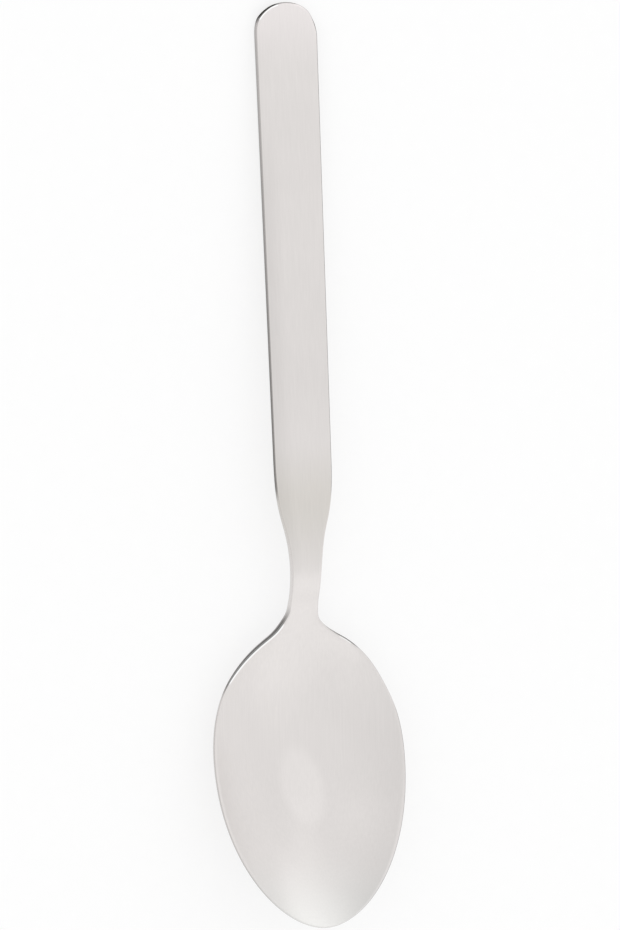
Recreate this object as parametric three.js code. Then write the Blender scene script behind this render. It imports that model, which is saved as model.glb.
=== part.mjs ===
// Dessert spoon of pressed steel, in three lengths that meet face to face: handle, neck and bowl.
// Millimetres, +Z up, +Y from the bowl's tip to the handle's end. The spoon lies at rest on z = 0, on the
// bowl's underside and the underside of the handle's end. Stations are measured from the bowl's tip.
import * as THREE from "three";

// Plan: stations along the spoon and half-widths
const LENGTH = 180;
const BOWL_WIDEST_AT = 32.5;
const BOWL_HALF_WIDTH = 19.34;
const SHOULDER_AT = 56.2;
const SHOULDER_HALF_WIDTH = 7.41;
const SHOULDER_ANGLE = THREE.MathUtils.degToRad(57.8);
const NECK_AT = 62;
const NECK_HALF_WIDTH = 2.9;
const HANDLE_AT = 90.3;
const HANDLE_HALF_WIDTH = 5.86;
const END_CURVE_AT = 173;
const END_HALF_WIDTH = 6.29;

// Plan: how far each curve runs on along its tangent
const TIP_RUN = 8.3;
const WIDEST_RUN_TO_TIP = 20.25;
const WIDEST_RUN_TO_SHOULDER = 11;
const SHOULDER_RUN_TO_BOWL = 9;
const SHOULDER_RUN_TO_NECK = 2;
const NECK_RUN_TO_SHOULDER = 2.75;
const NECK_RUN_TO_HANDLE = 19.1;
const HANDLE_RUN_TO_NECK = 15.1;
const END_SIDE_RUN = 5.3;
const END_RUN = 2.9;

// Side view of the edge: the straight handle, the bend, the dip at the heel, and the rim
const END_THICKNESS = 1.9;
const BEND_AT = 78;
const BEND_HEIGHT = 8.28;
const HANDLE_SLOPE = (END_THICKNESS - BEND_HEIGHT) / (LENGTH - BEND_AT);
const NECK_RISE_AT = 64;
const NECK_RISE_HEIGHT = 6.98;
const NECK_RISE_SLOPE = 0.586;
const HEEL_AT = 58;
const HEEL_HEIGHT = 5.17;
const RIM_BACK_AT = 50;
const RIM_BACK_HEIGHT = 5.68;
const RIM_BACK_SLOPE = -0.068;
const TIP_HEIGHT = 16.04;
const TIP_SLOPE = -0.304;

// Thickness of the metal
const RIM_THICKNESS = 1;
const RIM_THICK_TO = 46;
const THICKEST_AT = 57.5;
const THICKEST = 2.9;
const NECK_THICKNESS = 2.2;
const HANDLE_THICKNESS = 1.45;
const HANDLE_THICKENING = (END_THICKNESS - HANDLE_THICKNESS) / (LENGTH - HANDLE_AT);

// Rounding of the edges
const RIM_EDGE = 0.25;
const THICKEST_EDGE = 0.2;
const NECK_EDGE_AT = 68;
const NECK_EDGE = 0.5;
const HANDLE_EDGE = 0.2;

// Side view of the middle line: the floor of the hollow, and its climb into the neck
const FLOOR_TIP_SLOPE = -0.72;
const FLOOR_LOWEST_AT = 35;
const FLOOR_LOWEST_HEIGHT = 1.06;
const FLOOR_HEEL_AT = 56;
const FLOOR_HEEL_HEIGHT = 3.85;
const FLOOR_HEEL_SLOPE = 0.28;
const HOLLOW_POWER = 2;

// Fineness of the curves
const EDGE_STEPS = 2;
const BOWL_STEPS_ACROSS = 16;
const HANDLE_STEPS_ACROSS = 2;
const TIP_STEPS = 16;
const SHOULDER_STEPS = 12;
const FILLET_STEPS = 8;
const NECK_STEPS = 14;
const HANDLE_STEPS = 1;
const END_STEPS = 12;

const STEEL = { color: 0xd9d6d1, roughness: 0.34, metalness: 1 };

/** Smooth run of a value along the spoon through stations of [place, value, slope]. */
class Course {
  constructor(stations) {
    this.stations = stations;
  }

  at(place) {
    const last = this.stations.length - 2;
    const found = this.stations.findIndex((station, i) => i <= last && place <= this.stations[i + 1][0]);
    const span = found < 0 ? last : found;
    const [from, low, leave] = this.stations[span];
    const [to, high, arrive] = this.stations[span + 1];
    const reach = to - from;
    const t = (place - from) / reach;
    const rest = 1 - t;
    return (
      low * (1 + 2 * t) * rest * rest +
      high * (3 - 2 * t) * t * t +
      reach * t * rest * (leave * rest - arrive * t)
    );
  }
}

const EDGE_HEIGHT = new Course([
  [0, TIP_HEIGHT, TIP_SLOPE],
  [RIM_BACK_AT, RIM_BACK_HEIGHT, RIM_BACK_SLOPE],
  [HEEL_AT, HEEL_HEIGHT, 0],
  [NECK_RISE_AT, NECK_RISE_HEIGHT, NECK_RISE_SLOPE],
  [BEND_AT, BEND_HEIGHT, HANDLE_SLOPE],
  [LENGTH, END_THICKNESS, HANDLE_SLOPE],
]);
const THICKNESS = new Course([
  [0, RIM_THICKNESS, 0],
  [RIM_THICK_TO, RIM_THICKNESS, 0],
  [THICKEST_AT, THICKEST, 0],
  [NECK_RISE_AT, NECK_THICKNESS, 0],
  [HANDLE_AT, HANDLE_THICKNESS, HANDLE_THICKENING],
  [LENGTH, END_THICKNESS, HANDLE_THICKENING],
]);
const EDGE_ROUNDING = new Course([
  [0, RIM_EDGE, 0],
  [RIM_THICK_TO, RIM_EDGE, 0],
  [THICKEST_AT, THICKEST_EDGE, 0],
  [NECK_EDGE_AT, NECK_EDGE, 0],
  [HANDLE_AT, HANDLE_EDGE, 0],
  [LENGTH, HANDLE_EDGE, 0],
]);
const MIDDLE_HEIGHT = new Course([
  [0, TIP_HEIGHT, FLOOR_TIP_SLOPE],
  [FLOOR_LOWEST_AT, FLOOR_LOWEST_HEIGHT, 0],
  [FLOOR_HEEL_AT, FLOOR_HEEL_HEIGHT, FLOOR_HEEL_SLOPE],
  [NECK_RISE_AT, NECK_RISE_HEIGHT, NECK_RISE_SLOPE],
  [BEND_AT, BEND_HEIGHT, HANDLE_SLOPE],
  [LENGTH, END_THICKNESS, HANDLE_SLOPE],
]);

/** Curve of the plan between two places, leaving and arriving along given directions. */
function sweep(from, leave, arrive, to) {
  return new THREE.CubicBezierCurve(from, from.clone().add(leave), to.clone().sub(arrive), to);
}

const xy = (x, y) => new THREE.Vector2(x, y);
const TIP = xy(0, 0);
const WIDEST = xy(BOWL_HALF_WIDTH, BOWL_WIDEST_AT);
const SHOULDER = xy(SHOULDER_HALF_WIDTH, SHOULDER_AT);
const SHOULDER_WAY = xy(-Math.sin(SHOULDER_ANGLE), Math.cos(SHOULDER_ANGLE));
const NECK = xy(NECK_HALF_WIDTH, NECK_AT);
const HANDLE = xy(HANDLE_HALF_WIDTH, HANDLE_AT);
const END_CURVE = xy(END_HALF_WIDTH, END_CURVE_AT);
const HANDLE_WAY = END_CURVE.clone().sub(HANDLE).normalize();
const END = xy(0, LENGTH);

const TIP_SIDE = sweep(TIP, xy(TIP_RUN, 0), xy(0, WIDEST_RUN_TO_TIP), WIDEST);
const SHOULDER_SIDE = sweep(
  WIDEST,
  xy(0, WIDEST_RUN_TO_SHOULDER),
  SHOULDER_WAY.clone().multiplyScalar(SHOULDER_RUN_TO_BOWL),
  SHOULDER,
);
const FILLET = sweep(
  SHOULDER,
  SHOULDER_WAY.clone().multiplyScalar(SHOULDER_RUN_TO_NECK),
  xy(0, NECK_RUN_TO_SHOULDER),
  NECK,
);
const NECK_SIDE = sweep(
  NECK,
  xy(0, NECK_RUN_TO_HANDLE),
  HANDLE_WAY.clone().multiplyScalar(HANDLE_RUN_TO_NECK),
  HANDLE,
);
const HANDLE_SIDE = new THREE.LineCurve(HANDLE, END_CURVE);
const END_SIDE = sweep(END_CURVE, HANDLE_WAY.clone().multiplyScalar(END_SIDE_RUN), xy(-END_RUN, 0), END);

/** Places on the edge of one length, each with its outward direction. */
function edgePlaces(runs) {
  return runs.flatMap(([curve, steps], i) => {
    const places = [];
    for (let step = i ? 1 : 0; step <= steps; step++) {
      const along = curve.getTangent(step / steps);
      places.push({ at: curve.getPoint(step / steps), out: xy(along.y, -along.x) });
    }
    return places;
  });
}

/** Cross-section at one place: its upper and its lower points, both from left to right. */
function section({ at, out }, stepsAcross) {
  const round = EDGE_ROUNDING.at(at.y);
  const height = EDGE_HEIGHT.at(at.y);
  const thick = THICKNESS.at(at.y);
  const hollow = height - MIDDLE_HEIGHT.at(at.y);
  const upper = [];
  const lower = [];
  const add = (share, inset, drop) => {
    const x = share * (at.x - inset * out.x);
    const y = at.y - inset * out.y - LENGTH / 2;
    const sink = hollow * (1 - Math.abs(share) ** HOLLOW_POWER);
    upper.push(new THREE.Vector3(x, y, height - sink - drop));
    lower.push(new THREE.Vector3(x, y, height - sink - thick + drop));
  };
  const addEdge = (side, step) => {
    const turn = (step / EDGE_STEPS) * (Math.PI / 2);
    add(side, round * (1 - Math.sin(turn)), round * (1 - Math.cos(turn)));
  };
  for (let step = EDGE_STEPS; step > 0; step--) addEdge(-1, step);
  for (let step = 0; step <= stepsAcross; step++) add((2 * step) / stepsAcross - 1, round, 0);
  for (let step = 1; step <= EDGE_STEPS; step++) addEdge(1, step);
  return { upper, lower };
}

/** Closed body through the sections of one length. */
function loft(runs, stepsAcross) {
  const sections = edgePlaces(runs).map((place) => section(place, stepsAcross));
  const positions = [];
  const indices = new Map();
  const faces = [];
  const index = (point) => {
    const key = point.toArray().map((v) => v.toFixed(4)).join();
    if (!indices.has(key)) {
      indices.set(key, indices.size);
      positions.push(...point.toArray());
    }
    return indices.get(key);
  };
  const face = (...corners) => {
    const [a, b, c] = corners.map(index);
    if (a !== b && b !== c && c !== a) faces.push(a, b, c);
  };
  const quad = (a, b, c, d) => {
    face(a, b, c);
    face(a, c, d);
  };
  const rings = sections.map(({ upper, lower }) => [...upper, ...lower.toReversed()]);
  for (let i = 1; i < rings.length; i++) {
    const near = rings[i - 1];
    const far = rings[i];
    near.forEach((point, j) => {
      const next = (j + 1) % near.length;
      quad(point, near[next], far[next], far[j]);
    });
  }
  const first = sections[0];
  const last = sections.at(-1);
  for (let j = 1; j < first.upper.length; j++) {
    if (first.upper[0].x) quad(first.upper[j - 1], first.lower[j - 1], first.lower[j], first.upper[j]);
    if (last.upper[0].x) quad(last.upper[j - 1], last.upper[j], last.lower[j], last.lower[j - 1]);
  }
  const geometry = new THREE.BufferGeometry();
  geometry.setAttribute("position", new THREE.Float32BufferAttribute(positions, 3));
  geometry.setIndex(faces);
  geometry.computeVertexNormals();
  return geometry;
}

function piece(name, runs, stepsAcross) {
  const mesh = new THREE.Mesh(loft(runs, stepsAcross), new THREE.MeshStandardMaterial(STEEL));
  mesh.name = name;
  return mesh;
}

const spoon = new THREE.Group();
spoon.name = "dessert_spoon";
spoon.add(
  piece("handle", [[HANDLE_SIDE, HANDLE_STEPS], [END_SIDE, END_STEPS]], HANDLE_STEPS_ACROSS),
  piece("neck", [[NECK_SIDE, NECK_STEPS]], BOWL_STEPS_ACROSS),
  piece("bowl", [[TIP_SIDE, TIP_STEPS], [SHOULDER_SIDE, SHOULDER_STEPS], [FILLET, FILLET_STEPS]], BOWL_STEPS_ACROSS),
);
export default spoon;
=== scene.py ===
"""Dessert spoon of satin-brushed stainless steel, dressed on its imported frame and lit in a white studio.

Metres, +Z up, +Y from the bowl's tip to the handle's end. Sizes of the metal are written in millimetres,
and stations are measured from the bowl's tip.
"""
import logging
import math
from dataclasses import dataclass, field
from enum import Enum

import bpy
from mathutils import Matrix, Vector


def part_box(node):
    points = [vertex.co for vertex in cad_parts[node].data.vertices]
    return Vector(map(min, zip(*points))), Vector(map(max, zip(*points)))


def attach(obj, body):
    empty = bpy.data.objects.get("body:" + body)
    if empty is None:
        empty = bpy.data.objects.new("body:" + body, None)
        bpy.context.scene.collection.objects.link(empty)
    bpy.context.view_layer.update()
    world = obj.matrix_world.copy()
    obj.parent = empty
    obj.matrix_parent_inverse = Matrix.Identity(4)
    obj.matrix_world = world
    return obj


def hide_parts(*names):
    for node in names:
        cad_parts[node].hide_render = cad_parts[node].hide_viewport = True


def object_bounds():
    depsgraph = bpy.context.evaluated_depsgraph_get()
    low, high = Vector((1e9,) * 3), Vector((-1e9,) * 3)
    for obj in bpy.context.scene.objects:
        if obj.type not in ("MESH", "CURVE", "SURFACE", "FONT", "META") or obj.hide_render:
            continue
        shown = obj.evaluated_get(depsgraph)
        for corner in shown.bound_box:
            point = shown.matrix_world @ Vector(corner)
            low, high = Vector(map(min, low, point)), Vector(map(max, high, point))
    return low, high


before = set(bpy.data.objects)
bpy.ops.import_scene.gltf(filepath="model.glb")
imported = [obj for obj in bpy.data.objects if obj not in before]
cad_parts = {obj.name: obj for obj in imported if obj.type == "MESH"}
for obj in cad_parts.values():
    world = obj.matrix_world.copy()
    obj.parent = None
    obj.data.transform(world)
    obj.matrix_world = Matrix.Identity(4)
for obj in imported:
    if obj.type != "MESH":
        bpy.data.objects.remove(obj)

CAD_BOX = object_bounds()

MM = 0.001
BODY = "root"
IMAGE_HEIGHT_PX = 930

log = logging.getLogger("dessert_spoon")


class Face(Enum):
    """Side of the metal that a point of the cross-section lies on."""

    UPPER = 0.0
    UNDER = 1.0


@dataclass(frozen=True)
class SoftBox:
    """One soft box: where it stands, how wide and tall it is, in metres, and its power in watts."""

    place: tuple[float, float, float]
    width: float
    height: float
    power: float


class Lamp(Enum):
    """The studio's soft boxes, by where they stand."""

    HANDLE_TOP = SoftBox((0.11, 0.18, 0.22), 0.08, 0.08, 0.005)
    RIGHT = SoftBox((1.3, 0.0, 0.35), 2.4, 0.7, 0.38)
    HANDLE_END = SoftBox((0.45, 1.2, 0.34), 1.0, 0.46, 0.72)
    TIP_END = SoftBox((0.25, -1.0, 0.95), 2.4, 1.2, 1.2)


@dataclass(frozen=True)
class SkyTone:
    """Stretch of sky: the way to it, how far along that way it begins and is full, and its strength."""

    way: tuple[float, float, float]
    begin: float
    full: float
    strength: float


class SkyPart(Enum):
    """The stretches of the sky that differ from the rest, by where they are."""

    LEFT = SkyTone((-1.0, 0.0, 0.0), 0.3, 0.7, 0.955)
    BEHIND_END = SkyTone((-0.4, 0.9, 0.0), 0.81, 0.92, 0.8)
    BEHIND_LEFT = SkyTone((-0.36, 0.72, 0.6), 0.92, 0.985, 1.08)


def linear(colour: str) -> tuple[float, float, float, float]:
    """Turns an sRGB hex colour to linear light.

    Args:
        colour: Six hex digits after a hash sign.

    Returns:
        Red, green, blue and an alpha of one.
    """
    shares = [int(colour[i:i + 2], 16) / 255 for i in (1, 3, 5)]
    lights = [s / 12.92 if s <= 0.04045 else ((s + 0.055) / 1.055) ** 2.4 for s in shares]
    return (*lights, 1.0)


def add_node(
    tree: bpy.types.NodeTree, kind: str, inputs: dict[str | int, object] | None = None, **settings: object
) -> bpy.types.Node:
    """Adds a node with its settings, and sets or links its inputs.

    Args:
        tree: Tree that the node goes into.
        kind: Node type.
        inputs: Input name or number to a socket to link from, or to a value.
        settings: Properties of the node.

    Returns:
        The new node.
    """
    node = tree.nodes.new(kind)
    for name, value in settings.items():
        setattr(node, name, value)
    for key, value in (inputs or {}).items():
        if isinstance(value, bpy.types.NodeSocket):
            tree.links.new(value, node.inputs[key])
        else:
            node.inputs[key].default_value = value
    return node


@dataclass(frozen=True)
class Course:
    """A value that runs smoothly along the spoon through stations of place, value and slope."""

    stations: tuple[tuple[float, float, float], ...]

    @classmethod
    def level(cls, *stations: tuple[float, float]) -> "Course":
        """Makes a value that runs level through each of its stations.

        Args:
            stations: Places with the values there.

        Returns:
            The course.
        """
        return cls(tuple((place, value, 0.0) for place, value in stations))

    def at(self, place: float) -> float:
        """Gives the value at a place.

        Args:
            place: Millimetres from the bowl's tip.

        Returns:
            The value there.
        """
        spans = list(zip(self.stations, self.stations[1:]))
        span = next((pair for pair in spans if place <= pair[1][0]), spans[-1])
        (start, low, leave), (end, high, arrive) = span
        reach = end - start
        t = (place - start) / reach
        rest = 1 - t
        ends = low * (1 + 2 * t) * rest * rest + high * (3 - 2 * t) * t * t
        return ends + reach * t * rest * (leave * rest - arrive * t)


@dataclass(frozen=True)
class Sweep:
    """One plan curve of the edge, as across and along in millimetres, with its directions at both ends."""

    start: Vector
    leave: Vector
    arrive: Vector
    end: Vector

    def place(self, t: float) -> tuple[Vector, Vector]:
        """Gives a place on the curve.

        Args:
            t: Share of the curve, from 0 to 1.

        Returns:
            The place, and the direction out of the metal there.
        """
        near = self.start + self.leave
        far = self.end - self.arrive
        rest = 1 - t
        point = (
            rest ** 3 * self.start + 3 * rest * rest * t * near
            + 3 * rest * t * t * far + t ** 3 * self.end
        )
        way = rest * rest * (near - self.start) + 2 * rest * t * (far - near) + t * t * (self.end - far)
        way.normalize()
        return point, Vector((way.y, -way.x))


@dataclass(frozen=True)
class EdgeSide:
    """How far one side's edge steps aside to the right, in millimetres, and how much painted shade its edge
    gets.

    Names that end in at or to are stations. The edge shade runs from 0, none, to 1, the darkest painted shade
    on the edge's wall; near 1 it also brings a painted highlight on the lip.
    """

    rim_aside: float
    shoulder_aside_at: float
    shoulder_aside: float
    fillet_aside: float
    end_aside: float
    # The rest is the painted shade on this side's edge wall, 0 for none to 1 for darkest; near 1 it also
    # brings the painted lip highlight.
    edge_shade_rim: float
    edge_shade_back: float
    edge_shade_back_to: float
    edge_shade_shoulder_at: float
    edge_shade_shoulder: float
    edge_shade_shoulder_to: float
    edge_shade_neck_at: float
    edge_shade_neck: float
    edge_shade_handle: float
    edge_shade_handle_end: float
    edge_shade_end: float


@dataclass
class SpoonForm:
    """Sizes that the lengths of the spoon share, in millimetres; the overall ones come from the frame.

    Names that end in at, from or to are stations. The outline is smaller than the frame's by what polishing
    took off.
    """

    length: float
    bowl_half_width: float
    tip_height: float
    neck_at: float
    handle_at: float
    handle_half_width: float
    end_half_width: float
    end_curve_at: float = 173.0
    neck_half_width: float = 2.93
    end_thickness: float = 1.9
    bend_at: float = 78.0
    bend_height: float = 8.28
    neck_rise_at: float = 64.0
    neck_rise_height: float = 6.98
    neck_rise_slope: float = 0.586
    heel_at: float = 58.0
    heel_height: float = 5.17
    rim_back_at: float = 50.0
    rim_back_height: float = 5.68
    rim_back_slope: float = -0.068
    tip_slope: float = -0.304
    floor_tip_slope: float = -0.72
    floor_lowest_at: float = 35.0
    floor_lowest_height: float = 1.06
    floor_heel_at: float = 56.0
    floor_heel_height: float = 3.85
    floor_heel_slope: float = 0.28
    hollow_power: float = 2.0
    rim_thickness: float = 1.0
    rim_thick_to: float = 46.0
    thickest_at: float = 57.5
    thickest: float = 2.9
    neck_thickness: float = 2.2
    handle_thickness: float = 1.45
    polished_off: float = 0.12
    rim_edge: float = 0.25
    rim_edge_to: float = 44.0
    shoulder_edge: float = 0.55
    neck_edge_at: float = 66.0
    neck_edge: float = 0.4
    handle_edge: float = 0.3
    end_edge: float = 0.55
    rim_true_to: float = 40.0
    neck_aside_at: float = 59.5
    neck_aside: float = -0.21
    fillet_aside_at: float = 61.6
    end_aside_at: float = 176.5
    cap_aside_at: float = 179.0
    cap_aside: float = 0.2
    end_middle_aside: float = 0.235
    # Stations of the painted shade on the edges' walls, which near its strongest also brings the painted lip
    # highlight.
    edge_shade_tip: float = 0.0
    edge_shade_rim_from: float = 9.0
    edge_shade_rim_to: float = 40.0
    edge_shade_back_at: float = 43.5
    edge_shade_neck_to: float = 82.0
    edge_shade_handle_at: float = 85.5
    edge_shade_handle_to: float = 175.2
    end_edge_at: float = 177.5
    edge_shade_end_to: float = 179.5
    edge_shade_end_middle: float = 0.5
    sides: tuple[EdgeSide, EdgeSide] = (
        EdgeSide(
            rim_aside=0.0, shoulder_aside_at=55.0, shoulder_aside=0.54, fillet_aside=-0.11,
            end_aside=-0.13, edge_shade_rim=0.2, edge_shade_back=0.16, edge_shade_back_to=44.0,
            edge_shade_shoulder_at=48.0, edge_shade_shoulder=0.79, edge_shade_shoulder_to=58.3,
            edge_shade_neck_at=62.6, edge_shade_neck=0.03, edge_shade_handle=0.6, edge_shade_handle_end=0.33, edge_shade_end=1.0,
        ),
        EdgeSide(
            rim_aside=-0.1, shoulder_aside_at=55.3, shoulder_aside=0.58, fillet_aside=0.08,
            end_aside=-0.055, edge_shade_rim=0.6, edge_shade_back=0.08, edge_shade_back_to=53.4,
            edge_shade_shoulder_at=55.0, edge_shade_shoulder=0.76, edge_shade_shoulder_to=56.2,
            edge_shade_neck_at=58.8, edge_shade_neck=0.0, edge_shade_handle=0.72, edge_shade_handle_end=0.68, edge_shade_end=0.12,
        ),
    )
    edge_height: Course = field(init=False)
    middle_height: Course = field(init=False)
    thickness: Course = field(init=False)
    rounding: Course = field(init=False)
    asides: list[Course] = field(init=False)
    rawness: list[Course] = field(init=False)

    def __post_init__(self) -> None:
        """Lays out the values that run along the spoon."""
        slope = (self.end_thickness - self.bend_height) / (self.length - self.bend_at)
        thickening = (self.end_thickness - self.handle_thickness) / (self.length - self.handle_at)
        bar = (
            (self.neck_rise_at, self.neck_rise_height, self.neck_rise_slope),
            (self.bend_at, self.bend_height, slope),
            (self.length, self.end_thickness, slope),
        )
        self.edge_height = Course((
            (0.0, self.tip_height, self.tip_slope),
            (self.rim_back_at, self.rim_back_height, self.rim_back_slope),
            (self.heel_at, self.heel_height, 0.0),
            *bar,
        ))
        self.middle_height = Course((
            (0.0, self.tip_height, self.floor_tip_slope),
            (self.floor_lowest_at, self.floor_lowest_height, 0.0),
            (self.floor_heel_at, self.floor_heel_height, self.floor_heel_slope),
            *bar,
        ))
        self.thickness = Course((
            (0.0, self.rim_thickness, 0.0),
            (self.rim_thick_to, self.rim_thickness, 0.0),
            (self.thickest_at, self.thickest, 0.0),
            (self.neck_rise_at, self.neck_thickness, 0.0),
            (self.handle_at, self.handle_thickness, thickening),
            (self.length, self.end_thickness, thickening),
        ))
        self.rounding = Course.level(
            (0.0, self.rim_edge),
            (self.rim_edge_to, self.rim_edge),
            (self.rim_back_at, self.shoulder_edge),
            (self.thickest_at, self.shoulder_edge),
            (self.neck_edge_at, self.neck_edge),
            (self.handle_at, self.handle_edge),
            (self.end_curve_at, self.handle_edge),
            (self.end_edge_at, self.end_edge),
            (self.length, self.end_edge),
        )
        self.asides = [Course.level(
            (0.0, 0.0),
            (self.rim_true_to, 0.0),
            (self.rim_thick_to, side.rim_aside),
            (side.shoulder_aside_at, side.shoulder_aside),
            (self.neck_aside_at, self.neck_aside),
            (self.fillet_aside_at, side.fillet_aside),
            (self.neck_rise_at, 0.0),
            (self.end_curve_at, 0.0),
            (self.end_aside_at, side.end_aside),
            (self.cap_aside_at, self.cap_aside),
            (self.length, self.end_middle_aside),
        ) for side in self.sides]
        # Painted shade on each side's edge wall, with the painted lip highlight where it is strongest.
        self.rawness = [Course.level(
            (0.0, self.edge_shade_tip),
            (self.edge_shade_rim_from, side.edge_shade_rim),
            (self.edge_shade_rim_to, side.edge_shade_rim),
            (self.edge_shade_back_at, side.edge_shade_back),
            (side.edge_shade_back_to, side.edge_shade_back),
            (side.edge_shade_shoulder_at, side.edge_shade_shoulder),
            (side.edge_shade_shoulder_to, side.edge_shade_shoulder),
            (side.edge_shade_neck_at, side.edge_shade_neck),
            (self.edge_shade_neck_to, side.edge_shade_neck),
            (self.edge_shade_handle_at, side.edge_shade_handle),
            (self.edge_shade_handle_to, side.edge_shade_handle_end),
            (self.end_edge_at, side.edge_shade_end),
            (self.edge_shade_end_to, side.edge_shade_end),
            (self.length, self.edge_shade_end_middle),
        ) for side in self.sides]

    @classmethod
    def from_frame(cls) -> "SpoonForm":
        """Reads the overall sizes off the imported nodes.

        Returns:
            The form, with stations counted from the bowl's tip.
        """
        low, high = CAD_BOX
        bowl_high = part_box("bowl")[1]
        handle_low, handle_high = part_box("handle")
        neck_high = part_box("neck")[1]
        return cls(
            length=(high[1] - low[1]) / MM,
            bowl_half_width=bowl_high[0] / MM,
            tip_height=bowl_high[2] / MM,
            neck_at=(bowl_high[1] - low[1]) / MM,
            handle_at=(handle_low[1] - low[1]) / MM,
            handle_half_width=neck_high[0] / MM,
            end_half_width=handle_high[0] / MM,
        )


class LoftTree:
    """Geometry Nodes that draw one cross-section through every station of an edge line."""

    HOLLOW_POWER = "Hollow Power"
    WELD = "Weld Distance"
    SECTION = "Section"
    METAL = "Metal"
    WELD_MM = 0.001

    def __init__(self) -> None:
        """Builds the tree."""
        self.tree = bpy.data.node_groups.new("spoon_loft", "GeometryNodeTree")
        interface = self.tree.interface
        interface.new_socket("Edge Line", in_out="INPUT", socket_type="NodeSocketGeometry")
        self.identifiers = {
            name: interface.new_socket(name, in_out="INPUT", socket_type=kind).identifier
            for name, kind in (
                (self.SECTION, "NodeSocketObject"),
                (self.HOLLOW_POWER, "NodeSocketFloat"),
                (self.WELD, "NodeSocketFloat"),
                (self.METAL, "NodeSocketMaterial"),
            )
        }
        interface.new_socket("Length", in_out="OUTPUT", socket_type="NodeSocketGeometry")
        self.source = add_node(self.tree, "NodeGroupInput")
        section = add_node(self.tree, "GeometryNodeObjectInfo", {"Object": self.source.outputs[self.SECTION]})
        self.edge_line = self.source.outputs["Edge Line"]
        self.section = section.outputs["Geometry"]
        grid, station, around = self.grid()
        self.finish(grid, *self.position(station, around))

    def grid(self) -> tuple[bpy.types.NodeSocket, bpy.types.NodeSocket, bpy.types.NodeSocket]:
        """Makes one row of points for each station, and one column for each point of the section.

        Returns:
            The grid, and each point's number along the edge line and around the section.
        """
        tree = self.tree
        stations = add_node(tree, "GeometryNodeAttributeDomainSize", {"Geometry": self.edge_line})
        corners = add_node(tree, "GeometryNodeAttributeDomainSize", {"Geometry": self.section})
        ring = corners.outputs["Point Count"]
        columns = add_node(tree, "FunctionNodeIntegerMath", {0: ring, 1: 1}, operation="ADD").outputs[0]
        grid = add_node(tree, "GeometryNodeMeshGrid", {
            "Vertices X": stations.outputs["Point Count"],
            "Vertices Y": columns,
        })
        number = add_node(tree, "GeometryNodeInputIndex").outputs["Index"]
        station = add_node(tree, "FunctionNodeIntegerMath", {0: number, 1: columns}, operation="DIVIDE_FLOOR")
        column = add_node(tree, "FunctionNodeIntegerMath", {0: number, 1: columns}, operation="MODULO")
        around = add_node(tree, "FunctionNodeIntegerMath", {
            0: column.outputs[0], 1: ring,
        }, operation="MODULO")
        return grid.outputs["Mesh"], station.outputs[0], around.outputs[0]

    def read(
        self, carrier: bpy.types.NodeSocket, name: str, number: bpy.types.NodeSocket
    ) -> bpy.types.NodeSocket:
        """Reads a vector that an edge line or a section carries.

        Args:
            carrier: Geometry that carries it.
            name: Attribute's name.
            number: Point to read.

        Returns:
            The vector at that point.
        """
        value = add_node(
            self.tree, "GeometryNodeInputNamedAttribute", {"Name": name}, data_type="FLOAT_VECTOR",
        ).outputs["Attribute"]
        return add_node(self.tree, "GeometryNodeSampleIndex", {
            "Geometry": carrier, "Value": value, "Index": number,
        }, data_type="FLOAT_VECTOR", domain="POINT").outputs["Value"]

    def between_sides(
        self, name: str, station: bpy.types.NodeSocket, share: bpy.types.NodeSocket
    ) -> bpy.types.NodeSocket:
        """Blends a value that the edge line carries for its left and its right side.

        Args:
            name: Attribute's name.
            station: Number of the point's station.
            share: Place from the left edge, at -1, to the right one, at 1.

        Returns:
            The value at that place.
        """
        left, right, _ = add_node(
            self.tree, "ShaderNodeSeparateXYZ", {0: self.read(self.edge_line, name, station)},
        ).outputs
        return add_node(self.tree, "ShaderNodeMapRange", {
            "Value": share, "From Min": -1.0, "From Max": 1.0, "To Min": left, "To Max": right,
        }).outputs[0]

    def position(
        self, station: bpy.types.NodeSocket, around: bpy.types.NodeSocket
    ) -> tuple[bpy.types.NodeSocket, dict[str, bpy.types.NodeSocket]]:
        """Works out where each point of the grid goes.

        Args:
            station: Number of the point's station.
            around: Number of the point in the section.

        Returns:
            The position, and what is kept for the finish: how far the point is out on the rounded edge,
            how much painted shade that edge gets, and where the point lies from the left edge to the right
            one.
        """
        tree = self.tree
        place = self.read(self.edge_line, "position", station)
        outward = self.read(self.edge_line, "outward", station)
        metal = add_node(tree, "ShaderNodeSeparateXYZ", {0: self.read(self.edge_line, "metal", station)})
        thick, hollow, radius = metal.outputs
        corner = add_node(tree, "ShaderNodeSeparateXYZ", {0: self.read(self.section, "position", around)})
        share, inset, drop = corner.outputs
        # Painted edge shade, blended from the left side's value to the right's.
        aside, side_edge_shade = (self.between_sides(name, station, share) for name in ("aside", "rawness"))
        face = add_node(tree, "ShaderNodeSeparateXYZ", {0: self.read(self.section, "face", around)})
        under, kept_edge_shade, _ = face.outputs
        edge_shade_share = add_node(tree, "ShaderNodeMath", {0: side_edge_shade, 1: kept_edge_shade}, operation="MULTIPLY").outputs[0]

        inward = add_node(tree, "ShaderNodeVectorMath", {0: outward, "Scale": inset}, operation="SCALE")
        shifted = add_node(tree, "ShaderNodeVectorMath", {
            0: place, 1: inward.outputs[0],
        }, operation="SUBTRACT")
        x, y, z = add_node(tree, "ShaderNodeSeparateXYZ", {0: shifted.outputs[0]}).outputs

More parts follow.
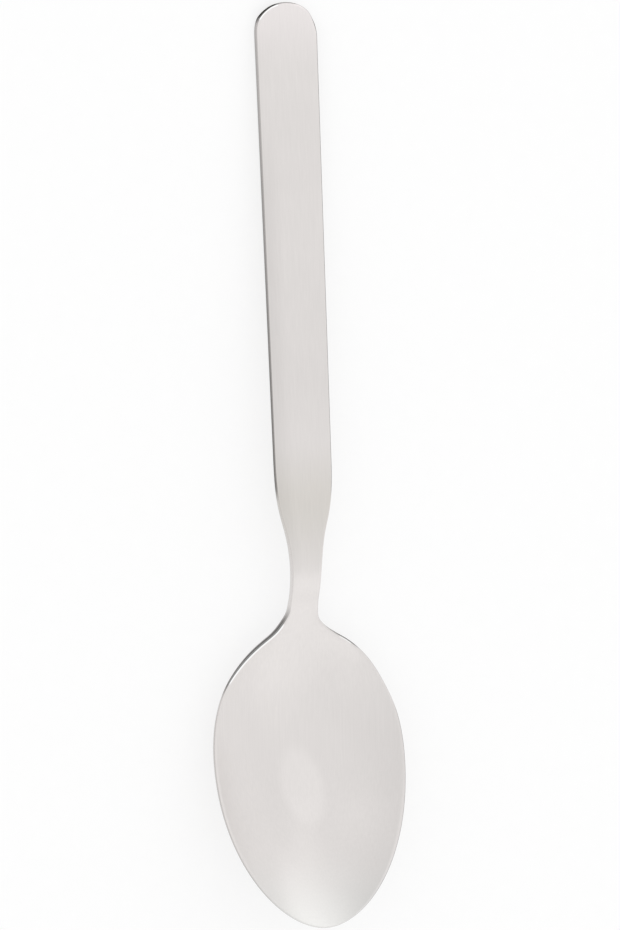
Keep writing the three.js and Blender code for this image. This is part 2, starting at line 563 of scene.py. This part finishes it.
        size = add_node(tree, "ShaderNodeMath", {0: share}, operation="ABSOLUTE").outputs[0]
        power = self.source.outputs[self.HOLLOW_POWER]
        flank = add_node(tree, "ShaderNodeMath", {0: size, 1: power}, operation="POWER").outputs[0]
        dish = add_node(tree, "ShaderNodeMath", {0: 1.0, 1: flank}, operation="SUBTRACT").outputs[0]
        sink = add_node(tree, "ShaderNodeMath", {0: hollow, 1: dish}, operation="MULTIPLY").outputs[0]
        sign = add_node(tree, "ShaderNodeMath", {
            0: under, 1: -2.0, 2: 1.0,
        }, operation="MULTIPLY_ADD").outputs[0]
        curl = add_node(tree, "ShaderNodeMath", {0: drop, 1: radius}, operation="MULTIPLY").outputs[0]
        lowered = add_node(tree, "ShaderNodeMath", {
            0: sign, 1: curl, 2: sink,
        }, operation="MULTIPLY_ADD").outputs[0]
        depth = add_node(tree, "ShaderNodeMath", {
            0: under, 1: thick, 2: lowered,
        }, operation="MULTIPLY_ADD").outputs[0]
        across = add_node(tree, "ShaderNodeMath", {
            0: x, 1: share, 2: aside,
        }, operation="MULTIPLY_ADD").outputs[0]
        height = add_node(tree, "ShaderNodeMath", {0: z, 1: depth}, operation="SUBTRACT").outputs[0]
        point = add_node(tree, "ShaderNodeCombineXYZ", {0: across, 1: y, 2: height})
        edge = add_node(tree, "ShaderNodeMath", {0: 1.0, 1: inset}, operation="SUBTRACT")
        return point.outputs[0], {"edge": edge.outputs[0], "rawness": edge_shade_share, "across": share}

    def finish(
        self,
        grid: bpy.types.NodeSocket,
        position: bpy.types.NodeSocket,
        kept: dict[str, bpy.types.NodeSocket],
    ) -> None:
        """Moves the grid's points, closes the seam and the ends, turns the faces outwards and adds the metal.

        Args:
            grid: Flat grid of points.
            position: Where each point goes.
            kept: Attribute name to a value that each point keeps for the finish.
        """
        tree = self.tree
        marked = grid
        for name, value in kept.items():
            marked = add_node(
                tree, "GeometryNodeStoreNamedAttribute", {"Geometry": marked, "Name": name, "Value": value},
                data_type="FLOAT", domain="POINT",
            ).outputs[0]
        moved = add_node(tree, "GeometryNodeSetPosition", {"Geometry": marked, "Position": position})
        welded = add_node(tree, "GeometryNodeMergeByDistance", {
            "Geometry": moved.outputs[0],
            "Distance": self.source.outputs[self.WELD],
        })
        outwards = add_node(tree, "GeometryNodeFlipFaces", {"Mesh": welded.outputs[0]})
        real = add_node(tree, "GeometryNodeRealizeInstances", {"Geometry": outwards.outputs[0]})
        dressed = add_node(tree, "GeometryNodeSetMaterial", {
            "Geometry": real.outputs[0],
            "Material": self.source.outputs[self.METAL],
        })
        add_node(tree, "NodeGroupOutput", {0: dressed.outputs[0]})

    def mesh(
        self, edge_line: bpy.types.Object, section: bpy.types.Object, power: float, metal: bpy.types.Material
    ) -> bpy.types.Mesh:
        """Draws the section through the edge line.

        Args:
            edge_line: Object that holds the stations.
            section: Object that holds the points of the section.
            power: How flat the hollow's floor is.
            metal: Finish.

        Returns:
            A plain mesh.
        """
        loft = edge_line.modifiers.new("loft", "NODES")
        loft.node_group = self.tree
        for name, value in (
            (self.SECTION, section),
            (self.HOLLOW_POWER, power),
            (self.WELD, self.WELD_MM * MM),
            (self.METAL, metal),
        ):
            loft[self.identifiers[name]] = value
        bpy.context.view_layer.update()
        graph = bpy.context.evaluated_depsgraph_get()
        mesh = bpy.data.meshes.new_from_object(edge_line.evaluated_get(graph), depsgraph=graph)
        edge_line.modifiers.remove(loft)
        return mesh


@dataclass(frozen=True)
class BrushedSteel:
    """Stainless steel, brushed lengthwise to a satin: pale, soft reflections with faint hairlines.

    Places along the spoon are millimetres from its middle, and the edge shade is painted shade on the edges'
    walls, which where it is strongest also brings a painted highlight on the lip. Lip and wall are shares of
    the way out on the rounded edge. The satin also carries painted shade at the bend and along the handle's
    left side, and painted highlights at the handle's end and on the bowl's floor.
    """

    name: str = "satin_brushed_stainless_steel"
    satin: str = "#e2dedc"
    tip_satin: str = "#e0dfdd"
    # Painted shade: the satin is darker at the bend.
    painted_bend_shade: str = "#dad6d1"
    # Painted highlight: the satin is lighter at the handle's end.
    painted_end_highlight: str = "#ebe6e5"
    half_length_mm: float = 90.0
    tip_satin_to_mm: float = -74.0
    bowl_satin_to_mm: float = -24.0
    bend_mm: float = -7.5
    handle_satin_from_mm: float = 5.0
    end_highlight_from_mm: float = 76.0
    end_highlight_mm: float = 89.0
    hairline_shade: str = "#f5f5f5"
    hairline_width_mm: float = 0.3
    hairline_length_mm: float = 28.0
    hairline_depth_mm: float = 0.002
    hairline_detail: float = 3.0
    hairline_grain: float = 0.6
    cloud_shade: str = "#f7f7f7"
    cloud_mm: float = 22.0
    cloud_detail: float = 2.0
    cloud_from: float = 0.45
    cloud_full: float = 0.75
    cloud_share: float = 0.5
    # Painted shade: a darker strip along the handle's left side.
    painted_left_shade: str = "#f6f6f6"
    left_to: float = -0.3
    left_middle_mm: float = 22.0
    left_full_mm: float = 30.0
    left_fade_mm: float = 50.0
    # Painted reflection: a lighter oval on the bowl's floor.
    painted_bowl_highlight: str = "#e8e4e2"
    bowl_highlight_middle_mm: tuple[float, float, float] = (-0.2, -63.0, 0.0)
    bowl_highlight_turn: float = math.radians(11)
    bowl_highlight_half_mm: tuple[float, float] = (4.8, 8.6)
    bowl_highlight_full: float = 0.6
    bowl_highlight_fade: float = 1.1
    roughness: float = 0.34
    roughness_spread: float = 0.05
    edge_roughness: float = 0.24
    # Painted highlight: the white of the lip, which also serves as the untinted glint elsewhere.
    lip_highlight_white: str = "#ffffff"
    # Painted shade on the edge's wall, and the darker tint that it leaves at a flat angle.
    painted_wall_shade: str = "#605e5b"
    painted_wall_shade_tint: str = "#202020"
    # Edge shade between these brings in the painted lip highlight.
    lip_highlight_from_edge_shade: float = 0.73
    lip_highlight_full_edge_shade: float = 0.79
    lip_full: float = 0.15
    wall_from: float = 0.48
    wall_full: float = 0.56

    def length_tone(self, tree: bpy.types.NodeTree, along: bpy.types.NodeSocket) -> bpy.types.NodeSocket:
        """Colours the satin along the spoon: cooler at the tip, with painted shade at the bend and a painted
        highlight at the end.

        Args:
            tree: Material's tree.
            along: Place along the spoon, in metres.

        Returns:
            The satin's colour.
        """
        reach = self.half_length_mm * MM
        share = add_node(tree, "ShaderNodeMapRange", {"Value": along, "From Min": -reach, "From Max": reach})
        tone = add_node(tree, "ShaderNodeValToRGB", {0: share.outputs[0]})
        ramp = tone.color_ramp
        ramp.interpolation = "EASE"
        ramp.elements.remove(ramp.elements[1])
        ramp.elements[0].color = linear(self.tip_satin)
        for place, colour in (
            (self.tip_satin_to_mm, self.satin),
            (self.bowl_satin_to_mm, self.satin),
            (self.bend_mm, self.painted_bend_shade),
            (self.handle_satin_from_mm, self.satin),
            (self.end_highlight_from_mm, self.satin),
            (self.end_highlight_mm, self.painted_end_highlight),
        ):
            ramp.elements.new(0.5 + place / (2 * self.half_length_mm)).color = linear(colour)
        return tone.outputs["Color"]

    def painted_bowl_highlight_tone(
        self, tree: bpy.types.NodeTree, satin: bpy.types.NodeSocket, object_space: bpy.types.NodeSocket
    ) -> bpy.types.NodeSocket:
        """Lightens an oval on the bowl's floor, a painted reflection.

        Args:
            tree: Material's tree.
            satin: Colour of the brushed faces.
            object_space: Place on the spoon, in metres.

        Returns:
            The colour, with the spot.
        """
        across, along = self.bowl_highlight_half_mm
        oval = add_node(tree, "ShaderNodeMapping", {
            "Vector": object_space,
            "Location": Vector(self.bowl_highlight_middle_mm) * MM,
            "Rotation": (0.0, 0.0, self.bowl_highlight_turn),
            "Scale": (across * MM, along * MM, 1.0),
        }, vector_type="TEXTURE").outputs[0]
        size = add_node(tree, "ShaderNodeVectorMath", {0: oval}, operation="LENGTH").outputs["Value"]
        share = add_node(tree, "ShaderNodeMapRange", {
            "Value": size, "From Min": self.bowl_highlight_full, "From Max": self.bowl_highlight_fade,
            "To Min": 1.0, "To Max": 0.0,
        }, interpolation_type="SMOOTHSTEP").outputs[0]
        return add_node(tree, "ShaderNodeMix", {
            "Factor": share, 6: satin, 7: linear(self.painted_bowl_highlight),
        }, data_type="RGBA").outputs[2]

    def edge_colour(
        self, tree: bpy.types.NodeTree, satin: bpy.types.NodeSocket, edge: bpy.types.NodeSocket
    ) -> tuple[bpy.types.NodeSocket, bpy.types.NodeSocket]:
        """Lays painted shade on the edge's wall over the satin, as strong as each edge's shade is, and a
        painted highlight on the lip where that shade is strongest.

        Args:
            tree: Material's tree.
            satin: Colour of the brushed faces.
            edge: How far out on the rounded edge the point is.

        Returns:
            The colour, edges and all, and the tint that is left of it at a flat angle, darker on the painted
            shade of the wall.
        """
        # How much painted shade this edge gets; where it is strongest, the lip gets a painted highlight.
        edge_shade_share = add_node(tree, "ShaderNodeAttribute", attribute_name="rawness").outputs["Fac"]
        shine = add_node(tree, "ShaderNodeMapRange", {
            "Value": edge_shade_share, "From Min": self.lip_highlight_from_edge_shade, "From Max": self.lip_highlight_full_edge_shade,
        }).outputs[0]
        lip = add_node(tree, "ShaderNodeMapRange", {
            "Value": edge, "From Max": self.lip_full, "To Max": shine,
        }).outputs[0]
        wall = add_node(tree, "ShaderNodeMapRange", {
            "Value": edge, "From Min": self.wall_from, "From Max": self.wall_full, "To Max": edge_shade_share,
        }).outputs[0]
        lipped = add_node(tree, "ShaderNodeMix", {
            "Factor": lip, 6: satin, 7: linear(self.lip_highlight_white),
        }, data_type="RGBA").outputs[2]
        colour = add_node(tree, "ShaderNodeMix", {
            "Factor": wall, 6: lipped, 7: linear(self.painted_wall_shade),
        }, data_type="RGBA").outputs[2]
        glint = add_node(tree, "ShaderNodeMix", {
            "Factor": wall, 6: linear(self.lip_highlight_white), 7: linear(self.painted_wall_shade_tint),
        }, data_type="RGBA").outputs[2]
        return colour, glint

    def painted_left_shade_share(
        self, tree: bpy.types.NodeTree, along: bpy.types.NodeSocket, across: bpy.types.NodeSocket
    ) -> bpy.types.NodeSocket:
        """Marks the strip of painted shade along the handle's left side, which fades towards both of the
        handle's ends.

        Args:
            tree: Material's tree.
            along: Place along the spoon, in metres.
            across: Place from the left edge, at -1, to the right one, at 1.

        Returns:
            How much a point belongs to the strip.
        """
        from_middle = add_node(tree, "ShaderNodeMath", {
            0: along, 1: self.left_middle_mm * MM,
        }, operation="SUBTRACT").outputs[0]
        off_middle = add_node(tree, "ShaderNodeMath", {0: from_middle}, operation="ABSOLUTE").outputs[0]
        on_handle = add_node(tree, "ShaderNodeMapRange", {
            "Value": off_middle, "From Min": self.left_full_mm * MM, "From Max": self.left_fade_mm * MM,
            "To Min": 1.0, "To Max": 0.0,
        }).outputs[0]
        return add_node(tree, "ShaderNodeMapRange", {
            "Value": across, "From Min": -1.0, "From Max": self.left_to, "To Min": on_handle, "To Max": 0.0,
        }, interpolation_type="SMOOTHSTEP").outputs[0]

    def material(self) -> bpy.types.Material:
        """Makes the finish.

        The real hairlines are a few hundredths of a millimetre wide. They are drawn about ten times as
        wide, so that they show at this picture's size.

        Returns:
            The material.
        """
        material = bpy.data.materials.new(self.name)
        material.use_nodes = True
        tree = material.node_tree
        tree.nodes.clear()
        object_space = add_node(tree, "ShaderNodeTexCoord").outputs["Object"]
        along = add_node(tree, "ShaderNodeSeparateXYZ", {0: object_space}).outputs["Y"]
        across = add_node(tree, "ShaderNodeAttribute", attribute_name="across").outputs["Fac"]
        edge = add_node(tree, "ShaderNodeAttribute", attribute_name="edge").outputs["Fac"]
        narrow = 1 / (self.hairline_width_mm * MM)
        stretched = add_node(tree, "ShaderNodeMapping", {
            "Vector": object_space,
            "Scale": (narrow, 1 / (self.hairline_length_mm * MM), narrow),
        })
        hairlines = add_node(tree, "ShaderNodeTexNoise", {
            "Vector": stretched.outputs[0], "Scale": 1.0,
            "Detail": self.hairline_detail, "Roughness": self.hairline_grain,
        }).outputs["Fac"]
        clouds = add_node(tree, "ShaderNodeTexNoise", {
            "Vector": object_space, "Scale": 1 / (self.cloud_mm * MM), "Detail": self.cloud_detail,
        }).outputs["Fac"]
        clouded = add_node(tree, "ShaderNodeMapRange", {
            "Value": clouds, "From Min": self.cloud_from, "From Max": self.cloud_full,
            "To Max": self.cloud_share,
        }).outputs[0]
        satin = self.painted_bowl_highlight_tone(tree, self.length_tone(tree, along), object_space)
        # Hairlines and clouds are the steel's own tone; the last share is painted shade on the handle's left
        # side.
        for share, shade in (
            (hairlines, self.hairline_shade),
            (clouded, self.cloud_shade),
            (self.painted_left_shade_share(tree, along, across), self.painted_left_shade),
        ):
            satin = add_node(tree, "ShaderNodeMix", {
                "Factor": share, 6: satin, 7: linear(shade),
            }, data_type="RGBA", blend_type="MULTIPLY").outputs[2]
        brushed = add_node(tree, "ShaderNodeMapRange", {
            "Value": hairlines,
            "To Min": self.roughness - self.roughness_spread,
            "To Max": self.roughness + self.roughness_spread,
        }).outputs[0]
        roughness = add_node(tree, "ShaderNodeMix", {
            "Factor": edge, 2: brushed, 3: self.edge_roughness,
        }, data_type="FLOAT").outputs[0]
        bump = add_node(tree, "ShaderNodeBump", {
            "Height": hairlines, "Strength": 1.0, "Distance": self.hairline_depth_mm * MM,
        }).outputs[0]
        # The edge colour carries the painted wall shade and lip highlight, and the tint darkens the shaded
        # wall at a flat angle.
        colour, glint = self.edge_colour(tree, satin, edge)
        steel = add_node(tree, "ShaderNodeBsdfPrincipled", {
            "Base Color": colour,
            "Metallic": 1.0,
            "Roughness": roughness,
            "Specular Tint": glint,
            "Normal": bump,
        })
        add_node(tree, "ShaderNodeOutputMaterial", {"Surface": steel.outputs[0]})
        return material


@dataclass
class SpoonLength:
    """One length of the spoon: an edge line, and the section that is drawn along it."""

    form: SpoonForm
    loft: LoftTree
    metal: bpy.types.Material
    node: str = ""
    steps_across: int = 16
    edge_steps: int = 8
    # Share of the painted edge shade that the under face gets.
    under_edge_shade: float = 1.0
    cut_from_mm: float = 1.0
    sharp_angle: float = math.radians(50)

    def sweeps(self) -> list[tuple[Sweep, int]]:
        """Lists the plan curves of this length's edge.

        Returns:
            The curves from the bowl's side to the handle's, each with its number of steps.
        """
        raise NotImplementedError

    def points(self, name: str, places: list[Vector], carried: dict[str, list[Vector]]) -> bpy.types.Object:
        """Makes an object of bare points that carry vectors.

        Args:
            name: Object's name.
            places: Point positions.
            carried: Attribute name to one vector for each point.

        Returns:
            The object, linked into the scene.
        """
        mesh = bpy.data.meshes.new(name)
        mesh.from_pydata(places, [], [])
        for label, vectors in carried.items():
            layer = mesh.attributes.new(label, "FLOAT_VECTOR", "POINT")
            layer.data.foreach_set("vector", [part for vector in vectors for part in vector])
        thing = bpy.data.objects.new(name, mesh)
        bpy.context.scene.collection.objects.link(thing)
        return thing

    def section(self) -> bpy.types.Object:
        """Draws the cross-section as share of the half-width, inset and drop on the rounded edge.

        Returns:
            Its points, from the left edge over the upper face to the right edge, and back underneath. They
            carry their face, and the share of the edge's painted shade that is left there.
        """
        turns = [math.pi / 2 * step / self.edge_steps for step in range(1, self.edge_steps + 1)]
        left = [Vector((-1, 1 - math.sin(turn), 1 - math.cos(turn))) for turn in reversed(turns)]
        flat = [Vector((2 * step / self.steps_across - 1, 1, 0)) for step in range(self.steps_across + 1)]
        right = [Vector((1, 1 - math.sin(turn), 1 - math.cos(turn))) for turn in turns]
        upper = left + flat + right
        faces = [Face.UPPER] * len(upper) + [Face.UNDER] * len(upper)
        # Painted edge shade kept on each face.
        edge_shade_share = {Face.UPPER: 1.0, Face.UNDER: self.under_edge_shade}
        carried = {"face": [Vector((face.value, edge_shade_share[face], 0)) for face in faces]}
        return self.points(f"{self.node}_section", upper + upper[::-1], carried)

    def edge_line(self) -> bpy.types.Object:
        """Lays out the stations of this length, and closes a wide, cut end with a flat of no thickness.

        Returns:
            Points at half-width, station and height, which carry the outward way, the metal's sizes, and how
            far the left and right edges step aside and how much painted shade they get.
        """
        form = self.form
        places: list[Vector] = []
        outward: list[Vector] = []
        metal: list[Vector] = []
        aside: list[Vector] = []
        rawness: list[Vector] = []
        spots: list[tuple[Vector, Vector]] = []
        for number, (sweep, steps) in enumerate(self.sweeps()):
            spots += [sweep.place(step / steps) for step in range(1 if number else 0, steps + 1)]
        for spot, out in spots:
            radius = form.rounding.at(spot.y)
            height = form.edge_height.at(spot.y)
            hollow = height - form.middle_height.at(spot.y)
            edge = spot - out * form.polished_off
            places.append(Vector((edge.x, edge.y - form.length / 2, height)) * MM)
            outward.append(Vector((out.x, out.y, 0)) * radius * MM)
            metal.append(Vector((form.thickness.at(spot.y), hollow, radius)) * MM)
            aside.append(Vector((*(course.at(spot.y) for course in form.asides), 0)) * MM)
            # Painted shade for the left and the right edge.
            rawness.append(Vector((*(course.at(spot.y) for course in form.rawness), 0)))
        for end in (0, -1):
            if places[end].x > self.cut_from_mm * MM:
                thick, hollow, _ = metal[end]
                at = 0 if end == 0 else len(places)
                places.insert(at, places[end] - Vector((0, 0, thick / 2)))
                outward.insert(at, Vector((0, 0, 0)))
                metal.insert(at, Vector((0, hollow, 0)))
                aside.insert(at, aside[end].copy())
                rawness.insert(at, rawness[end].copy())
        carried = {"outward": outward, "metal": metal, "aside": aside, "rawness": rawness}
        return self.points(f"{self.node}_edge_line", places, carried)

    def build(self) -> bpy.types.Object:
        """Draws this length as one closed mesh.

        Returns:
            The finished piece, at the origin.
        """
        edge_line = self.edge_line()
        section = self.section()
        mesh = self.loft.mesh(edge_line, section, self.form.hollow_power, self.metal)
        for helper in (edge_line, section):
            bpy.data.objects.remove(helper)
        mesh.name = f"spoon_{self.node}"
        mesh.shade_smooth()
        mesh.set_sharp_from_angle(angle=self.sharp_angle)
        piece = bpy.data.objects.new(f"spoon_{self.node}", mesh)
        bpy.context.scene.collection.objects.link(piece)
        return piece

    def dress(self, piece: bpy.types.Object) -> None:
        """Puts the piece in its node's place on the body.

        Args:
            piece: The finished piece.
        """
        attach(piece, BODY)
        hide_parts(self.node)


@dataclass
class Handle(SpoonLength):
    """Flat straight bar that widens a little to its round end."""

    node: str = "handle"
    end_side_run: float = 6.3
    end_run: float = 1.72
    side_steps: int = 40
    end_steps: int = 48

    def way(self) -> Vector:
        """Gives the direction of the bar's straight side.

        Returns:
            Its way across and along, of length one.
        """
        form = self.form
        side = Vector((form.end_half_width - form.handle_half_width, form.end_curve_at - form.handle_at))
        return side.normalized()

    def sweeps(self) -> list[tuple[Sweep, int]]:
        """Lists the straight side and the round end.

        Returns:
            Both curves, each with its number of steps.
        """
        form = self.form
        start = Vector((form.handle_half_width, form.handle_at))
        curve = Vector((form.end_half_width, form.end_curve_at))
        third = (curve - start) / 3
        end = Vector((0.0, form.length))
        return [
            (Sweep(start, third, third, curve), self.side_steps),
            (Sweep(curve, self.way() * self.end_side_run, Vector((-self.end_run, 0)), end), self.end_steps),
        ]


@dataclass
class Neck(SpoonLength):
    """Stretch that narrows from the bar and bends down to the bowl."""

    node: str = "neck"
    steps_across: int = 72
    side_way: Vector = field(default_factory=lambda: Vector((0, 1)))
    run_to_handle: float = 19.1
    handle_run: float = 15.1
    side_steps: int = 96

    def sweeps(self) -> list[tuple[Sweep, int]]:
        """Lists the one hollow curve of the neck's side.

        Returns:
            The curve with its number of steps.
        """
        form = self.form
        start = Vector((form.neck_half_width, form.neck_at))
        end = Vector((form.handle_half_width, form.handle_at))
        side = Sweep(start, Vector((0, self.run_to_handle)), self.side_way * self.handle_run, end)
        return [(side, self.side_steps)]


@dataclass
class Bowl(SpoonLength):
    """Egg-shaped bowl with its rim and the shoulders that run into the neck."""

    node: str = "bowl"
    steps_across: int = 72
    # Share of the painted edge shade that the bowl's under face gets.
    under_edge_shade: float = 0.5
    widest_at: float = 32.5
    shoulder_at: float = 56.2
    shoulder_half_width: float = 7.41
    shoulder_angle: float = math.radians(57.8)
    tip_run: float = 8.3
    widest_run_to_tip: float = 20.25
    widest_run_to_shoulder: float = 11.0
    shoulder_run_to_bowl: float = 9.0
    shoulder_run_to_neck: float = 2.0
    neck_run: float = 2.75
    tip_steps: int = 72
    rim_steps: int = 48
    shoulder_steps: int = 48

    def sweeps(self) -> list[tuple[Sweep, int]]:
        """Lists the curves from the tip to the widest place, to the shoulder and to the neck.

        Returns:
            The three curves, each with its number of steps.
        """
        form = self.form
        tip = Vector((0.0, 0.0))
        widest = Vector((form.bowl_half_width, self.widest_at))
        shoulder = Vector((self.shoulder_half_width, self.shoulder_at))
        way = Vector((-math.sin(self.shoulder_angle), math.cos(self.shoulder_angle)))
        neck = Vector((form.neck_half_width, form.neck_at))
        along = Vector((0.0, 1.0))
        front = Sweep(tip, Vector((self.tip_run, 0.0)), along * self.widest_run_to_tip, widest)
        rim = Sweep(widest, along * self.widest_run_to_shoulder, way * self.shoulder_run_to_bowl, shoulder)
        fillet = Sweep(shoulder, way * self.shoulder_run_to_neck, along * self.neck_run, neck)
        return [(front, self.tip_steps), (rim, self.rim_steps), (fillet, self.shoulder_steps)]


@dataclass(frozen=True)
class WhiteBoard:
    """Matt white board, lit through from below: a plain pale ground that keeps the spoon's soft shadow."""

    name: str = "matt_white_board"
    colour: str = "#fbfbfb"
    fleck: str = "#f6f6f6"
    fleck_mm: float = 3.0
    roughness: float = 0.9
    glow: str = "#ffffff"
    glow_share: float = 0.7

    def material(self) -> bpy.types.Material:
        """Makes the finish, whose glow is seen and reflected, but throws no light on the spoon.

        Returns:
            The material.
        """
        material = bpy.data.materials.new(self.name)
        material.use_nodes = True
        tree = material.node_tree
        tree.nodes.clear()
        object_space = add_node(tree, "ShaderNodeTexCoord").outputs["Object"]
        flecks = add_node(tree, "ShaderNodeTexNoise", {
            "Vector": object_space, "Scale": 1 / (self.fleck_mm * MM),
        })
        colour = add_node(tree, "ShaderNodeMix", {
            "Factor": flecks.outputs["Fac"], 6: linear(self.fleck), 7: linear(self.colour),
        }, data_type="RGBA")
        board = add_node(tree, "ShaderNodeBsdfPrincipled", {
            "Base Color": colour.outputs[2], "Roughness": self.roughness, "Specular IOR Level": 0.0,
        })
        path = add_node(tree, "ShaderNodeLightPath").outputs
        share = 0.0
        for seen in ("Is Camera Ray", "Is Glossy Ray", "Is Transmission Ray"):
            share = add_node(tree, "ShaderNodeMath", {
                0: path[seen], 1: self.glow_share, 2: share,
            }, operation="MULTIPLY_ADD").outputs[0]
        glow = add_node(tree, "ShaderNodeEmission", {"Color": linear(self.glow), "Strength": 1.0})
        lit = add_node(tree, "ShaderNodeMixShader", {0: share, 1: board.outputs[0], 2: glow.outputs[0]})
        add_node(tree, "ShaderNodeOutputMaterial", {"Surface": lit.outputs[0]})
        material.cycles.emission_sampling = "NONE"
        return material


@dataclass
class Studio:
    """White ground, soft light from all round, and the camera that leans over from the spoon's left."""

    lean: float = math.radians(16)
    turn: float = math.radians(1.23)
    distance: float = 1.2
    target: Vector = field(default_factory=lambda: Vector((1.625, -0.535, 6.466)) * MM)
    pixels_per_mm: float = 5.144
    sensor_height: float = 24.0
    floor_half: float = 2.0
    floor_gap_mm: float = 0.02
    sky: str = "#ffffff"
    sky_strength: float = 1.0

    def floor(self) -> None:
        """Lays the ground that the spoon rests on, a hair below it so that no faces coincide."""
        half = self.floor_half
        level = CAD_BOX[0][2] - self.floor_gap_mm * MM
        mesh = bpy.data.meshes.new("ground")
        corners = [(-half, -half, level), (half, -half, level), (half, half, level), (-half, half, level)]
        mesh.from_pydata(corners, [], [(0, 1, 2, 3)])
        mesh.materials.append(WhiteBoard().material())
        ground = bpy.data.objects.new("ground", mesh)
        bpy.context.scene.collection.objects.link(ground)

    def world(self) -> None:
        """Lights everything from a white sky, whose own stretches show only in reflections and shade."""
        world = bpy.data.worlds.new("white_studio")
        world.use_nodes = True
        tree = world.node_tree
        tree.nodes.clear()
        way = add_node(tree, "ShaderNodeTexCoord").outputs["Object"]
        strength = self.sky_strength
        for part in SkyPart:
            tone = part.value
            near = add_node(tree, "ShaderNodeVectorMath", {0: way, 1: tone.way}, operation="DOT_PRODUCT")
            share = add_node(tree, "ShaderNodeMapRange", {
                "Value": near.outputs["Value"], "From Min": tone.begin, "From Max": tone.full,
                "To Min": 1.0, "To Max": tone.strength,
            }).outputs[0]
            strength = add_node(tree, "ShaderNodeMath", {
                0: strength, 1: share,
            }, operation="MULTIPLY").outputs[0]
        seen = add_node(tree, "ShaderNodeMix", {
            "Factor": add_node(tree, "ShaderNodeLightPath").outputs["Is Camera Ray"],
            2: strength, 3: self.sky_strength,
        }, data_type="FLOAT").outputs[0]
        sky = add_node(tree, "ShaderNodeBackground", {"Color": linear(self.sky), "Strength": seen})
        add_node(tree, "ShaderNodeOutputWorld", {"Surface": sky.outputs[0]})
        bpy.context.scene.world = world

    def lamps(self) -> None:
        """Hangs the soft boxes, each turned to the spoon."""
        for lamp in Lamp:
            name = lamp.name.lower()
            box = lamp.value
            light = bpy.data.lights.new(name, "AREA")
            light.energy = box.power
            light.shape = "RECTANGLE"
            light.size = box.width
            light.size_y = box.height
            hung = bpy.data.objects.new(name, light)
            hung.location = box.place
            hung.rotation_euler = (-Vector(box.place)).to_track_quat("-Z", "Y").to_euler()
            bpy.context.scene.collection.objects.link(hung)

    def camera(self) -> None:
        """Sets the camera above the spoon, leaning to its left, with a long lens."""
        right = Vector((math.cos(self.lean), 0.0, math.sin(self.lean)))
        back = Vector((-math.sin(self.lean), 0.0, math.cos(self.lean)))
        along = Vector((0.0, 1.0, 0.0))
        image_right = math.cos(self.turn) * right - math.sin(self.turn) * along
        image_up = math.sin(self.turn) * right + math.cos(self.turn) * along
        lens = bpy.data.cameras.new("camera")
        lens.sensor_fit = "VERTICAL"
        lens.sensor_height = self.sensor_height
        lens.lens = self.pixels_per_mm * self.distance / MM * self.sensor_height / IMAGE_HEIGHT_PX
        camera = bpy.data.objects.new("camera", lens)
        turned = Matrix((image_right, image_up, back)).transposed().to_4x4()
        camera.matrix_world = Matrix.Translation(self.target + back * self.distance) @ turned
        bpy.context.scene.collection.objects.link(camera)
        bpy.context.scene.camera = camera

    def build(self) -> None:
        """Sets up the ground, the light and the camera."""
        self.floor()
        self.world()
        self.lamps()
        self.camera()
        bpy.context.scene.view_settings.view_transform = "Standard"


def main() -> None:
    """Builds the spoon's lengths and the studio, and reports each piece."""
    logging.basicConfig(level=logging.INFO, format="%(name)s: %(message)s")
    form = SpoonForm.from_frame()
    loft = LoftTree()
    metal = BrushedSteel().material()
    handle = Handle(form, loft, metal)
    neck = Neck(form, loft, metal, side_way=handle.way())
    bowl = Bowl(form, loft, metal)
    for part in (handle, neck, bowl):
        piece = part.build()
        part.dress(piece)
        log.info("%s: %d faces", piece.name, len(piece.data.polygons))
    Studio().build()


if __name__ == "__main__":
    main()
